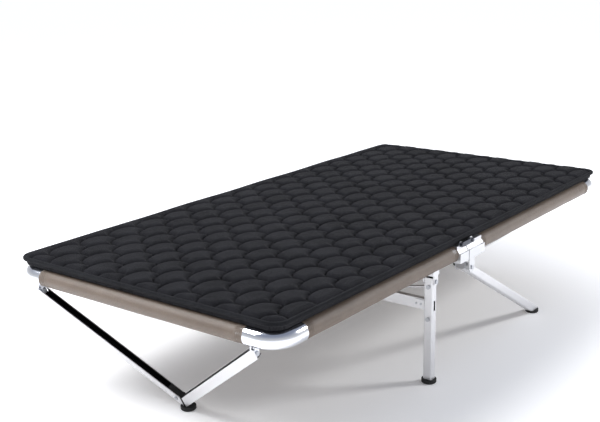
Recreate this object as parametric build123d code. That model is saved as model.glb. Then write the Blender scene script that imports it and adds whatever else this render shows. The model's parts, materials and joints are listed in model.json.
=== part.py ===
from build123d import *

import os
from math import hypot

# Folding cot. X runs along the bed (the near half is -X), Y across it (the right side is -Y), Z is up.
# The origin is on the floor under the middle of the bed. All sizes are in millimetres.

# Rail frame
FRAME_LENGTH = 1875.0  # between the end rails' axes
FRAME_WIDTH = 910.0  # between the side rails' axes
RAIL_HEIGHT = 359.0  # floor to the rails' axis
TUBE_DIAMETER = 45.0
TUBE_WALL = 2.0
SLEEVE_WALL = 1.5
ELBOW_PROUD = 0.8  # elbow's surface over the sleeve's
ELBOW_BEND = 60.0
ELBOW_ARM = 28.0  # straight socket past each end of the bend
SPIGOT_LENGTH = 25.0
SPIGOT_CLEARANCE = 0.15
SPIGOT_WALL = 3.5

# Deck and pad
DECK_DROP = 11.0  # deck's underside above the rails' axis
DECK_THICKNESS = 1.5
PAD_OVERHANG = 15.0  # pad edge past the rails' axis
PAD_THICKNESS = 30.0
PAD_LIFT = 0.8  # pad's underside over the hinge blocks' top
PAD_CORNER = 45.0
PAD_INSET = 34.0  # sunken underside to the rails' axis
PAD_SUNKEN_CORNER = 62.0
PAD_DECK_GAP = 0.3

# Middle hinge
HINGE_X = -67.0  # the split between the two halves
HINGE_GAP = 3.0
HINGE_PIN_RISE = 27.0  # above the rails' axis
HINGE_PIN_DIAMETER = 7.0
HINGE_CLEARANCE = 0.05
FOLD_GAP = 4.0  # between the two pad halves when the cot is folded
LINK_PAD_GAP = 3.0  # link's inner face to the pad's edge
LINK_THICKNESS = 6.0
LINK_HEIGHT = 14.0
PIN_HEAD_DIAMETER = 12.0
PIN_HEAD_THICKNESS = 2.0
NEAR_BLOCK_LENGTH = 53.0
FAR_BRACKET_LENGTH = 97.0
BLOCK_PROUD_INSIDE = 2.0  # block's faces over the sleeve's surface
BLOCK_PROUD_BELOW = 1.0
BLOCK_PROUD_ABOVE = 1.2
BLOCK_SLANT = 6.0  # the chamfer along its inner top edge
FACE_PLATE_PROUD = 6.0
FACE_PLATE = 4.0
FACE_PLATE_TOP = 4.0  # above the rail's axis
PIN_EDGE = 10.0  # radius of the cheek around a hinge pin
CHEEK = 2.4
PAD_GAP = 50.0  # between the pad halves, over the hinge
DECK_GAP = 6.0
DECK_CUT = 8.0  # deck's edge to the hinge's face plates
DECK_END_CUT = 1.0  # deck's edge to the castings, along the rails

# Fits shared by all leg pivots
PIVOT_DIAMETER = 8.0
PIVOT_CLEARANCE = 0.05
SIDE_CLEARANCE = 0.3
LUG = 4.0
HEAD_DIAMETER = 13.0
HEAD_THICKNESS = 3.0

# Side legs, on the far half's brackets
SIDE_FOOT_X = 462.0
SIDE_LEG_TUBE = 28.0
SIDE_LEG_WALL = 2.0
SIDE_LEG_ROUND = 6.0
EAR_EDGE = 2.0  # ear's edge past the leg's width
EAR_SPLIT_GAP = 1.5  # ear's edge to the bracket's near face
BOSS_DIAMETER = 24.0

# V legs, one under each end
V_DROP = 41.0  # pivot below the end rails' axis
V_FOOT_INSET = 162.5
V_LUG_OFFSET = 10.0  # tab's middle plane past the elbow's bend
V_TAB = 6.0
V_TAB_CLEARANCE = 0.5  # lugs to the arm's flanges
V_ARM_WIDTH = 28.0
V_ARM_DEPTH = 22.0
V_ARM_WALL = 2.0
V_TOP_CLEARANCE = 1.0  # arm's front flange to the elbow above it
V_CHANNEL_TOP = 10.0  # rest of the arm above its pivot's axis
V_THROAT_CLEARANCE = 1.5  # channel's end to the lugs' edge
V_HEAD_CLEARANCE = 1.2  # pivot pin's head to the whole channel
V_SEAM = 8.0  # foot block between the arms' ends
V_TONGUE = 36.0  # foot block's tongues, from the middle of the cot
V_SOLE_GAP = 6.0  # arms' lower edge to the foot, along the leg
V_BOLT_DIAMETER = 8.0
V_BOLT_PLACE = 19.0  # from the middle of the cot

# Centre legs, under the near half
CENTRE_X = -240.0
CENTRE_DROP = 47.0  # pivot below the rails' axis
CENTRE_TUBE_X = 25.0
CENTRE_TUBE_Y = 28.0
CENTRE_WALL = 2.0
CENTRE_ROUND = 4.0
CENTRE_HEAD = 11.0  # tube above the pivot
CENTRE_LUG_RADIUS = 11.0
SADDLE = 4.0
SADDLE_EDGE = 4.0  # saddle's length past the leg, each way
SADDLE_WRAP = 12.0  # saddle's top below the rail's axis
CROSSBAR_DROP = 72.0  # crossbar's middle below the pivot
CROSSBAR_HEIGHT = 32.0
CROSSBAR_DEPTH = 18.0
CROSSBAR_WALL = 2.0
TAB_LENGTH = 34.0
TAB_THICKNESS = 2.5
TAB_INSET = 3.0  # tab's edge inside the crossbar's
TAB_RIVETS = (9.5, 25.0)  # from the leg's face
RIVET_DIAMETER = 7.0
RIVET_HEIGHT = 1.8
STRUT_DIAMETER = 8.0
STRUT_REACH = 150.0  # strut's lower end, inwards from the leg
STRUT_TOP = 52.0  # strut's ends above the crossbar's middle
STRUT_BOTTOM = 22.0
STRUT_SPARE = 15.0  # extra length that the leg's face cuts off
CLIP_SIZE = (14.0, 16.0)
CLIP_TOP = 7.0  # above the strut's lower end
LEG_BOLTS = (16.0, 114.0)  # below the pivot
BOLT_GRIP = 3.0  # bolt's shank inside the leg's wall
LEG_SLOT = (73.5, 30.0, 8.0)  # middle below the pivot, length, width

# Feet
FOOT_DIAMETER = 44.0
FOOT_THICKNESS = 12.0
FOOT_EDGE = 2.5

NEAR, FAR = -1, 1
RIGHT, LEFT = -1, 1
SIDE_NAMES = {RIGHT: "right", LEFT: "left"}
END_NAMES = {NEAR: "near", FAR: "far"}

TUBE_BORE = TUBE_DIAMETER - 2 * TUBE_WALL
SLEEVE_DIAMETER = TUBE_DIAMETER + 2 * SLEEVE_WALL
SLEEVE_RADIUS = SLEEVE_DIAMETER / 2
SPIGOT_DIAMETER = TUBE_BORE - 2 * SPIGOT_CLEARANCE
ELBOW_RADIUS = SLEEVE_RADIUS + ELBOW_PROUD
ELBOW_REACH = ELBOW_BEND + ELBOW_ARM
HALF_LENGTH = FRAME_LENGTH / 2
HALF_WIDTH = FRAME_WIDTH / 2

# The castings' faces, measured from the rail's axis
BLOCK_INNER = SLEEVE_RADIUS + BLOCK_PROUD_INSIDE
BLOCK_BOTTOM = SLEEVE_RADIUS + BLOCK_PROUD_BELOW
BLOCK_TOP = SLEEVE_RADIUS + BLOCK_PROUD_ABOVE
FACE_PLATE_OUTER = SLEEVE_RADIUS + FACE_PLATE_PROUD
LINK_INNER = PAD_OVERHANG + LINK_PAD_GAP
RAIL_ENDS = {NEAR: HINGE_X - NEAR_BLOCK_LENGTH, FAR: HINGE_X + FAR_BRACKET_LENGTH}

# Heights
PAD_BOTTOM = RAIL_HEIGHT + BLOCK_TOP + PAD_LIFT
PAD_TOP = PAD_BOTTOM + PAD_THICKNESS
HINGE_PIN_HEIGHT = RAIL_HEIGHT + HINGE_PIN_RISE
HINGE_PITCH = 2 * (PAD_TOP - HINGE_PIN_HEIGHT) + FOLD_GAP
V_PIVOT_HEIGHT = RAIL_HEIGHT - V_DROP
CENTRE_PIVOT_HEIGHT = RAIL_HEIGHT - CENTRE_DROP
CROSSBAR_MIDDLE = CENTRE_PIVOT_HEIGHT - CROSSBAR_DROP
SIDE_PIVOT_HEIGHT = RAIL_HEIGHT - BLOCK_BOTTOM - SIDE_LEG_TUBE

EAR_RADIUS = SIDE_LEG_TUBE / 2 + EAR_EDGE
SIDE_LEG_X = HINGE_X + HINGE_GAP / 2 + EAR_SPLIT_GAP + EAR_RADIUS
V_TAB_INSET = ELBOW_BEND + V_LUG_OFFSET
V_TAB_RADIUS = V_ARM_DEPTH / 2 - V_ARM_WALL - V_TAB_CLEARANCE

parts = {}


def box(x, y, z):
    """A box between the low and high value of each axis."""
    size = [high - low for low, high in (x, y, z)]
    middle = [(low + high) / 2 for low, high in (x, y, z)]
    return Pos(*middle) * Box(*size)


def rod(start, end, radius):
    """A round rod from one point to another."""
    line = Vector(*end) - Vector(*start)
    return extrude(Plane(origin=start, z_dir=line) * Circle(radius), line.length)


def pipe(start, end, outer, inner):
    """A round tube given by its outer and inner diameters."""
    return rod(start, end, outer / 2) - rod(start, end, inner / 2)


def across(x, y, z, radius):
    """A round rod along Y, between the two values of y."""
    return rod((x, y[0], z), (x, y[1], z), radius)


def plate(outline, y):
    """An outline of (x, z) points, extruded along Y between the two values of y."""
    face = make_face(Polyline(*[(x, y[0], z) for x, z in outline], close=True))
    return extrude(face, y[1] - y[0], dir=(0, 1, 0))


def side_mirror(shape, side):
    """The shape itself on the right side, its mirror image on the left."""
    return shape if side == RIGHT else mirror(shape, Plane.XZ)


def end_mirror(shape, end):
    """The shape itself at the near end, its mirror image at the far end."""
    return shape if end == NEAR else mirror(shape, Plane.YZ)


def outwards(distance):
    """Y of a point on the right side that lies this far outside the rail's axis."""
    return -(HALF_WIDTH + distance)


def outward_span(low, high):
    """The Y interval between two distances outside the right rail's axis."""
    return outwards(high), outwards(low)


def pad_outline():
    """The whole pad's rounded outline."""
    return RectangleRounded(FRAME_LENGTH + 2 * PAD_OVERHANG, FRAME_WIDTH + 2 * PAD_OVERHANG, PAD_CORNER)


def half_region(end, gap):
    """All the space on one side of the hinge split, less half of a gap."""
    reach = FRAME_LENGTH
    edge = HINGE_X + end * gap / 2
    x = (edge, reach) if end == FAR else (-reach, edge)
    return box(x, (-reach, reach), (-reach, reach))


def elbow(end, side):
    """A cast corner elbow with a spigot for each tube and the lugs of the V leg's pivot."""
    corner = (-HALF_LENGTH, -HALF_WIDTH, RAIL_HEIGHT)

    def bent(reach, radius):
        start = (corner[0] + reach, corner[1], corner[2])
        stop = (corner[0], corner[1] + reach, corner[2])
        path = FilletPolyline(start, corner, stop, radius=ELBOW_BEND)
        return sweep(Plane(origin=path @ 0, z_dir=path % 0) * Circle(radius), path=path)

    body = bent(ELBOW_REACH, ELBOW_RADIUS)
    body += bent(ELBOW_REACH + SPIGOT_LENGTH, SPIGOT_DIAMETER / 2)
    pivot_x, pivot_z = -HALF_LENGTH, V_PIVOT_HEIGHT
    for y in lug_spans():
        body += box((pivot_x - V_TAB_RADIUS, pivot_x + V_TAB_RADIUS), y, (pivot_z, RAIL_HEIGHT))
        body += across(pivot_x, y, pivot_z, V_TAB_RADIUS)
    body -= bent(ELBOW_REACH + SPIGOT_LENGTH, SPIGOT_DIAMETER / 2 - SPIGOT_WALL)
    body -= across(pivot_x, (-FRAME_WIDTH, 0), pivot_z, PIVOT_DIAMETER / 2)
    return end_mirror(side_mirror(body, side), end)


def lug_spans():
    """The Y intervals of the two lugs beside a V leg's tab, on the right side."""
    tab = outwards(-V_TAB_INSET)
    near_face = V_TAB / 2 + SIDE_CLEARANCE
    return (tab - near_face - LUG, tab - near_face), (tab + near_face, tab + near_face + LUG)


def side_rail(end, side):
    """The two ends of a side tube's axis, between the elbow and the hinge block."""
    x = sorted((end * (HALF_LENGTH - ELBOW_REACH), RAIL_ENDS[end]))
    return [(value, side * HALF_WIDTH, RAIL_HEIGHT) for value in x]


def end_rail(end):
    """The two ends of an end tube's axis, between the elbows."""
    y = HALF_WIDTH - ELBOW_REACH
    return [(end * HALF_LENGTH, value, RAIL_HEIGHT) for value in (-y, y)]


def block_section(x):
    """The hinge casting around the end of the right rail, as a prism along X."""
    base = RAIL_HEIGHT
    points = [
        (outwards(FACE_PLATE_OUTER), base - BLOCK_BOTTOM),
        (outwards(FACE_PLATE_OUTER), base + FACE_PLATE_TOP),
        (outwards(FACE_PLATE_OUTER - FACE_PLATE), base + FACE_PLATE_TOP),
        (outwards(LINK_INNER - SIDE_CLEARANCE), base + BLOCK_TOP - PIN_EDGE),
        (outwards(LINK_INNER - SIDE_CLEARANCE), base + BLOCK_TOP),
        (outwards(-BLOCK_INNER + BLOCK_SLANT), base + BLOCK_TOP),
        (outwards(-BLOCK_INNER), base + BLOCK_TOP - BLOCK_SLANT),
        (outwards(-BLOCK_INNER), base - BLOCK_BOTTOM),
    ]
    face = make_face(Polyline(*[(x[0], y, z) for y, z in points], close=True))
    return extrude(face, x[1] - x[0], dir=(1, 0, 0))


def hinge_pin_x(end):
    """X of the hinge pin in one half."""
    return HINGE_X + end * HINGE_PITCH / 2


def hinge_block(end, side):
    """The casting on one rail end, with its spigot, hinge cheek and, on the far half, the side leg's ear."""
    inner = HINGE_X + end * HINGE_GAP / 2
    body = block_section(sorted((inner, RAIL_ENDS[end])))
    spigot_end = RAIL_ENDS[end] + end * SPIGOT_LENGTH
    axis = [(value, -HALF_WIDTH, RAIL_HEIGHT) for value in (RAIL_ENDS[end], spigot_end)]
    body += rod(*axis, SPIGOT_DIAMETER / 2)
    pin_x = hinge_pin_x(end)
    cheek = outward_span(LINK_INNER - SIDE_CLEARANCE - CHEEK, LINK_INNER - SIDE_CLEARANCE)
    body += across(pin_x, cheek, HINGE_PIN_HEIGHT, PIN_EDGE)
    if end == FAR:
        body += side_leg_ears()
        body -= across(SIDE_LEG_X, (-FRAME_WIDTH, 0), SIDE_PIVOT_HEIGHT, PIVOT_DIAMETER / 2)
    hole = outward_span(LINK_INNER - SIDE_CLEARANCE - CHEEK, FACE_PLATE_OUTER)
    body -= across(pin_x, hole, HINGE_PIN_HEIGHT, HINGE_PIN_DIAMETER / 2)
    return side_mirror(body, side)


def side_leg_ears():
    """The face plate's downward ear with its boss, and the inner ear, on the right side."""
    pivot = SIDE_PIVOT_HEIGHT
    top = RAIL_HEIGHT - BLOCK_BOTTOM + FACE_PLATE
    half = SIDE_LEG_TUBE / 2 + SIDE_CLEARANCE
    shapes = []
    outer = outward_span(FACE_PLATE_OUTER - FACE_PLATE, FACE_PLATE_OUTER)
    inner = outward_span(-half - LUG, -half)
    for span in (outer, inner):
        shapes.append(box((SIDE_LEG_X - EAR_RADIUS, SIDE_LEG_X + EAR_RADIUS), span, (pivot, top)))
        shapes.append(across(SIDE_LEG_X, span, pivot, EAR_RADIUS))
    shapes.append(across(SIDE_LEG_X, outward_span(half, FACE_PLATE_OUTER), pivot, BOSS_DIAMETER / 2))
    return shapes


def hinge_pins(end):
    """The two hinge pins of one half: a shank in the cheek, through the link, with an outer head."""
    x, z = hinge_pin_x(end), HINGE_PIN_HEIGHT
    shank = outward_span(LINK_INNER - SIDE_CLEARANCE - CHEEK, LINK_INNER + LINK_THICKNESS + SIDE_CLEARANCE)
    head = outward_span(
        LINK_INNER + LINK_THICKNESS + SIDE_CLEARANCE,
        LINK_INNER + LINK_THICKNESS + SIDE_CLEARANCE + PIN_HEAD_THICKNESS,
    )
    pin = across(x, shank, z, HINGE_PIN_DIAMETER / 2) + across(x, head, z, PIN_HEAD_DIAMETER / 2)
    return [side_mirror(pin, side) for side in (RIGHT, LEFT)]


def hinge_link(side):
    """The flat link that joins the two hinge pins of one side."""
    span = outward_span(LINK_INNER, LINK_INNER + LINK_THICKNESS)
    ends = [hinge_pin_x(end) for end in (NEAR, FAR)]
    half = LINK_HEIGHT / 2
    body = box(ends, span, (HINGE_PIN_HEIGHT - half, HINGE_PIN_HEIGHT + half))
    for x in ends:
        body += across(x, span, HINGE_PIN_HEIGHT, half)
    for x in ends:
        body -= across(x, span, HINGE_PIN_HEIGHT, HINGE_PIN_DIAMETER / 2 + HINGE_CLEARANCE)
    return side_mirror(body, side)


def rail_space():
    """The room of the four sleeved rails, which the deck is cut around."""
    radius = SLEEVE_RADIUS
    shapes = []
    for side in (RIGHT, LEFT):
        y = side * HALF_WIDTH
        shapes.append(rod((-FRAME_LENGTH, y, RAIL_HEIGHT), (FRAME_LENGTH, y, RAIL_HEIGHT), radius))
    for end in (NEAR, FAR):
        x = end * HALF_LENGTH
        shapes.append(rod((x, -FRAME_LENGTH, RAIL_HEIGHT), (x, FRAME_LENGTH, RAIL_HEIGHT), radius))
    return shapes


def deck(end):
    """One half of the fabric deck, stretched between the sleeves and cut out around the castings."""
    z = (RAIL_HEIGHT + DECK_DROP, RAIL_HEIGHT + DECK_DROP + DECK_THICKNESS)
    sheet = box((-HALF_LENGTH, HALF_LENGTH), (-HALF_WIDTH, HALF_WIDTH), z)
    sheet = (sheet & half_region(end, DECK_GAP)) - rail_space()
    room = FACE_PLATE_OUTER + DECK_CUT
    blocks = (RAIL_ENDS[NEAR] - DECK_END_CUT, RAIL_ENDS[FAR] + DECK_END_CUT)
    for side in (RIGHT, LEFT):
        y = side * HALF_WIDTH
        sheet -= box(blocks, (y - room, y + room), z)
        x = end * HALF_LENGTH
        corner = ELBOW_REACH + DECK_END_CUT
        sheet -= box((x - corner, x + corner), (y - corner, y + corner), z)
    return max(sheet.solids(), key=lambda solid: solid.volume)


def pad(end):
    """One half of the pad: a slab over the rails with an underside that sinks between them."""
    slab = extrude(Pos(0, 0, PAD_BOTTOM) * pad_outline(), PAD_THICKNESS)
    low = RAIL_HEIGHT + DECK_DROP + DECK_THICKNESS + PAD_DECK_GAP
    outline = RectangleRounded(
        FRAME_LENGTH - 2 * PAD_INSET, FRAME_WIDTH - 2 * PAD_INSET, PAD_SUNKEN_CORNER
    )
    sunken = extrude(Pos(0, 0, low) * outline, PAD_BOTTOM - low)
    return (slab + sunken) & half_region(end, PAD_GAP)


def pivot_pin(x, y, z):
    """A headed pivot pin along Y between the outer faces of its lugs."""
    pin = across(x, y, z, PIVOT_DIAMETER / 2)
    pin += across(x, (y[0] - HEAD_THICKNESS, y[0]), z, HEAD_DIAMETER / 2)
    return pin + across(x, (y[1], y[1] + HEAD_THICKNESS), z, HEAD_DIAMETER / 2)


def v_pins(end):
    """The two pivot pins of one V leg."""
    lugs = lug_spans()
    pin = pivot_pin(-HALF_LENGTH, (lugs[0][0], lugs[1][1]), V_PIVOT_HEIGHT)
    return [end_mirror(side_mirror(pin, side), end) for side in (RIGHT, LEFT)]


def foot(x, y):
    """A rubber foot disc that stands on the floor."""
    disc = Pos(x, y, FOOT_THICKNESS / 2) * Cylinder(FOOT_DIAMETER / 2, FOOT_THICKNESS)
    return chamfer(disc.edges().group_by(Axis.Z)[0], FOOT_EDGE)


def v_foot_x():
    """X of the near V leg's foot."""
    return -HALF_LENGTH + V_FOOT_INSET


def v_pivot():
    """The middle of the near V leg's right pivot."""
    return Vector(-HALF_LENGTH, outwards(-V_TAB_INSET), V_PIVOT_HEIGHT)


def v_slope():
    """The unit vector down the plane of the near V leg, square to its pivot."""
    pivot = v_pivot()
    return (Vector(v_foot_x(), pivot.Y, FOOT_THICKNESS) - pivot).normalized()


def v_lug_room():
    """How far inwards of the tab's middle plane the arm's channel is whole."""
    return V_TAB / 2 + LUG + HEAD_THICKNESS + V_HEAD_CLEARANCE


def v_arm_run():
    """The section plane of the near right arm, x along its thickness and y upwards, and its run."""
    start = v_pivot()
    finish = Vector(v_foot_x(), 0, FOOT_THICKNESS) - v_slope() * (V_ARM_WIDTH / 2 + V_SOLE_GAP)
    line = finish - start
    normal = v_slope().cross(Vector(0, 1, 0))
    spare = line.normalized() * V_TONGUE
    frame = Plane(origin=start - spare, x_dir=normal, z_dir=line)
    if frame.y_dir.Z < 0:
        frame = Plane(origin=start - spare, x_dir=-normal, z_dir=line)
    return frame, line.length + 2 * V_TONGUE


def v_section(thickness, width, shift=0.0, aside=0.0):
    """A bar along the near right arm: a rectangle of its section, moved off its middle."""
    frame, length = v_arm_run()
    return extrude(frame * Pos(aside, shift) * Rectangle(thickness, width), length)


def v_front():
    """The side of the arm's section that its front flange is on, as a sign."""
    return -1 if v_arm_run()[0].x_dir.X > 0 else 1


def v_bolt_axis():
    """The middle of the bolt on the near right arm and its direction, towards the front."""
    frame, length = v_arm_run()
    line = frame.z_dir
    distance = (-V_BOLT_PLACE - frame.origin.Y) / line.Y
    return frame.origin + line * distance, frame.x_dir * v_front()


def v_bolt_rod(radius, low, high):
    """A round rod on the bolt's axis, between two distances from the arm's middle plane."""
    middle, direction = v_bolt_axis()
    return rod(tuple(middle + direction * low), tuple(middle + direction * high), radius)


def v_throat(start, finish, spread, y):
    """A block across the near right arm, between two distances down from its pivot's axis."""
    slope = v_slope()
    across_plane = slope.cross(Vector(0, 1, 0)) * spread
    high, low = v_pivot() + slope * start, v_pivot() + slope * finish
    corners = [high + across_plane, low + across_plane, low - across_plane, high - across_plane]
    return plate([(corner.X, corner.Z) for corner in corners], y)


def v_arm(end, side):
    """A channel arm of a V leg, open towards the inside of the V, with its pivot tab."""
    pivot = v_pivot()
    hollow_depth = V_ARM_DEPTH - 2 * V_ARM_WALL
    whole = v_section(V_ARM_DEPTH, V_ARM_WIDTH)
    channel = whole - v_section(hollow_depth, V_ARM_WIDTH, V_ARM_WALL)
    side_limit = pivot.Y + v_lug_room()
    outer_limit = pivot.Y - V_ARM_WIDTH / 2
    seam = -V_SEAM / 2
    body = channel & box((-FRAME_LENGTH, 0), (side_limit, seam), (FOOT_THICKNESS, pivot.Z + V_CHANNEL_TOP))
    throat = V_TAB_RADIUS + V_THROAT_CLEARANCE
    body += channel & v_throat(throat, V_ARM_WIDTH, V_ARM_WIDTH, (outer_limit, side_limit))
    flange = v_section(V_ARM_WALL, V_ARM_WIDTH, 0, v_front() * (V_ARM_DEPTH - V_ARM_WALL) / 2)
    top = RAIL_HEIGHT - ELBOW_RADIUS - V_TOP_CLEARANCE
    body += flange & box((-FRAME_LENGTH, 0), (outer_limit, seam), (FOOT_THICKNESS, top))
    tab_span = (pivot.Y - V_TAB / 2, pivot.Y + V_TAB / 2)
    body += across(pivot.X, tab_span, pivot.Z, V_TAB_RADIUS)
    body += whole & v_throat(0, V_ARM_WIDTH, V_TAB_RADIUS, tab_span)
    body += whole & v_throat(throat, V_ARM_WIDTH, hollow_depth / 2, tab_span)
    body -= across(pivot.X, (-FRAME_WIDTH, 0), pivot.Z, PIVOT_DIAMETER / 2 + PIVOT_CLEARANCE)
    if side == LEFT:
        body -= v_bolt_rod(V_BOLT_DIAMETER / 2, -V_ARM_DEPTH, V_ARM_DEPTH)
    return end_mirror(side_mirror(body, side), end)


def v_block(end):
    """The moulded foot block: a seam between the arms' ends and a tongue inside each channel."""
    hollow_depth = V_ARM_DEPTH - 2 * V_ARM_WALL
    hollow = v_section(hollow_depth, V_ARM_WIDTH, V_ARM_WALL) & v_section(hollow_depth, V_ARM_WIDTH)
    tongue = hollow & box((-FRAME_LENGTH, 0), (-V_TONGUE, 0), (FOOT_THICKNESS, RAIL_HEIGHT))
    section = v_section(V_ARM_DEPTH, V_ARM_WIDTH)
    seam = section & box((-FRAME_LENGTH, 0), (-V_SEAM / 2, 0), (FOOT_THICKNESS, RAIL_HEIGHT))
    half = tongue + seam
    x = v_foot_x()
    stem_size = V_ARM_DEPTH / 2
    stem_top = FOOT_THICKNESS + V_ARM_WIDTH
    stem = box((x - stem_size, x + stem_size), (-V_SEAM / 2, V_SEAM / 2), (FOOT_THICKNESS, stem_top))
    drilled = half - v_bolt_rod(V_BOLT_DIAMETER / 2, -V_ARM_DEPTH, V_ARM_DEPTH)
    return end_mirror(half + side_mirror(drilled, LEFT) + stem, end)


def v_bolt(end):
    """The bolt through the left arm's end and the foot block, with a head in front and a nut behind."""
    half = V_ARM_DEPTH / 2
    body = v_bolt_rod(V_BOLT_DIAMETER / 2, -half, half)
    body += v_bolt_rod(HEAD_DIAMETER / 2, half, half + HEAD_THICKNESS)
    body += v_bolt_rod(HEAD_DIAMETER / 2, -half - HEAD_THICKNESS, -half)
    return end_mirror(side_mirror(body, LEFT), end)


def centre_lugs():
    """The saddle and lugs of each centre leg, under the near half's rails."""
    shapes = []
    pivot = CENTRE_PIVOT_HEIGHT
    half = CENTRE_TUBE_Y / 2 + SIDE_CLEARANCE
    reach = CENTRE_TUBE_X / 2 + SADDLE_EDGE
    low = RAIL_HEIGHT - SLEEVE_RADIUS
    radius = CENTRE_LUG_RADIUS
    for side in (RIGHT, LEFT):
        y = side * HALF_WIDTH
        wide = (y - half - LUG, y + half + LUG)
        body = box((CENTRE_X - reach, CENTRE_X + reach), wide, (low - SADDLE, RAIL_HEIGHT - SADDLE_WRAP))
        body -= rod((-FRAME_LENGTH, y, RAIL_HEIGHT), (FRAME_LENGTH, y, RAIL_HEIGHT), SLEEVE_RADIUS)
        for span in ((y - half - LUG, y - half), (y + half, y + half + LUG)):
            body += box((CENTRE_X - radius, CENTRE_X + radius), span, (pivot, low - SADDLE / 2))
            body += across(CENTRE_X, span, pivot, radius)
        body -= across(CENTRE_X, (y - 2 * half, y + 2 * half), pivot, PIVOT_DIAMETER / 2)
        shapes.append(body)
    return shapes


def centre_pins():
    """The pivot pins of the centre legs."""
    half = CENTRE_TUBE_Y / 2 + SIDE_CLEARANCE + LUG
    rails = [side * HALF_WIDTH for side in (RIGHT, LEFT)]
    return [pivot_pin(CENTRE_X, (y - half, y + half), CENTRE_PIVOT_HEIGHT) for y in rails]


def side_leg_pins():
    """The pivot pins of the side legs, from the face plate's ear to the inner ear."""
    inner = SIDE_LEG_TUBE / 2 + SIDE_CLEARANCE + LUG
    pin = pivot_pin(SIDE_LEG_X, outward_span(-inner, FACE_PLATE_OUTER), SIDE_PIVOT_HEIGHT)
    return [side_mirror(pin, side) for side in (RIGHT, LEFT)]


def centre_leg(side):
    """A centre leg tube with its pivot hole, its adjusting slot and a closed foot end."""
    y = side * HALF_WIDTH
    pivot = CENTRE_PIVOT_HEIGHT
    top = pivot + CENTRE_HEAD
    outline = RectangleRounded(CENTRE_TUBE_X, CENTRE_TUBE_Y, CENTRE_ROUND)
    body = extrude(Pos(CENTRE_X, y, FOOT_THICKNESS) * outline, top - FOOT_THICKNESS)
    bore = RectangleRounded(
        CENTRE_TUBE_X - 2 * CENTRE_WALL, CENTRE_TUBE_Y - 2 * CENTRE_WALL, CENTRE_ROUND - CENTRE_WALL
    )
    body -= extrude(Pos(CENTRE_X, y, FOOT_THICKNESS + CENTRE_WALL) * bore, top)
    wide = (y - CENTRE_TUBE_Y, y + CENTRE_TUBE_Y)
    body -= across(CENTRE_X, wide, pivot, PIVOT_DIAMETER / 2 + PIVOT_CLEARANCE)
    drop, length, width = LEG_SLOT
    middle = pivot - drop
    outer = sorted((y, y + side * CENTRE_TUBE_Y))
    slot = (middle - length / 2, middle + length / 2)
    body -= box((CENTRE_X - width / 2, CENTRE_X + width / 2), outer, slot)
    for drop in LEG_BOLTS:
        z = pivot - drop
        body -= rod((CENTRE_X - CENTRE_TUBE_X, y, z), (CENTRE_X, y, z), RIVET_DIAMETER / 2)
    return body


def leg_bolts():
    """The round-headed bolts on the near faces of both centre legs."""
    face = CENTRE_X - CENTRE_TUBE_X / 2
    shapes = []
    for side in (RIGHT, LEFT):
        y = side * HALF_WIDTH
        for drop in LEG_BOLTS:
            z = CENTRE_PIVOT_HEIGHT - drop
            shank = rod((face, y, z), (face + CENTRE_WALL + BOLT_GRIP, y, z), RIVET_DIAMETER / 2)
            head = rod((face - HEAD_THICKNESS, y, z), (face, y, z), HEAD_DIAMETER / 2)
            shapes.append(shank + head)
    return shapes


def crossbar():
    """The channel between the centre legs, with its web towards the near end."""
    y = HALF_WIDTH - CENTRE_TUBE_Y / 2
    z = (CROSSBAR_MIDDLE - CROSSBAR_HEIGHT / 2, CROSSBAR_MIDDLE + CROSSBAR_HEIGHT / 2)
    web = CENTRE_X - CROSSBAR_DEPTH / 2
    body = box((web, web + CROSSBAR_DEPTH), (-y, y), z)
    inner = (z[0] + CROSSBAR_WALL, z[1] - CROSSBAR_WALL)
    return body - box((web + CROSSBAR_WALL, CENTRE_X + CROSSBAR_DEPTH), (-y, y), inner)


def crossbar_tabs():
    """The plates that tie the crossbar's ends to the legs, on the near face of its web."""
    y = HALF_WIDTH - CENTRE_TUBE_Y / 2
    web = CENTRE_X - CROSSBAR_DEPTH / 2
    half = CROSSBAR_HEIGHT / 2 - TAB_INSET
    z = (CROSSBAR_MIDDLE - half, CROSSBAR_MIDDLE + half)
    spans = [(-y, -y + TAB_LENGTH), (y - TAB_LENGTH, y)]
    return [box((web - TAB_THICKNESS, web), span, z) for span in spans]


def crossbar_rivets():
    """Two rivets on each crossbar tab."""
    y = HALF_WIDTH - CENTRE_TUBE_Y / 2
    face = CENTRE_X - CROSSBAR_DEPTH / 2 - TAB_THICKNESS
    shapes = []
    for side in (RIGHT, LEFT):
        for step in TAB_RIVETS:
            place = side * (y - step)
            ends = [(x, place, CROSSBAR_MIDDLE) for x in (face - RIVET_HEIGHT, face)]
            shapes.append(rod(*ends, RIVET_DIAMETER / 2))
    return shapes


def strut_ends(side):
    """The two ends of a corner strut's axis: at the leg, and over the crossbar."""
    leg_face = side * (HALF_WIDTH - CENTRE_TUBE_Y / 2)
    high, low = CROSSBAR_MIDDLE + STRUT_TOP, CROSSBAR_MIDDLE + STRUT_BOTTOM
    return (CENTRE_X, leg_face, high), (CENTRE_X, leg_face - side * STRUT_REACH, low)


def struts():
    """The two thin corner struts from the crossbar up to the legs."""
    shapes = []
    for side in (RIGHT, LEFT):
        high, low = (Vector(*point) for point in strut_ends(side))
        spare = (high - low).normalized() * STRUT_SPARE
        whole = rod(tuple(low), tuple(high + spare), STRUT_DIAMETER / 2)
        inside = sorted((side * (HALF_WIDTH - CENTRE_TUBE_Y / 2), 0))
        room = box((CENTRE_X - STRUT_DIAMETER, CENTRE_X + STRUT_DIAMETER), inside, (0, RAIL_HEIGHT))
        shapes.append(whole & room)
    return shapes


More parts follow.
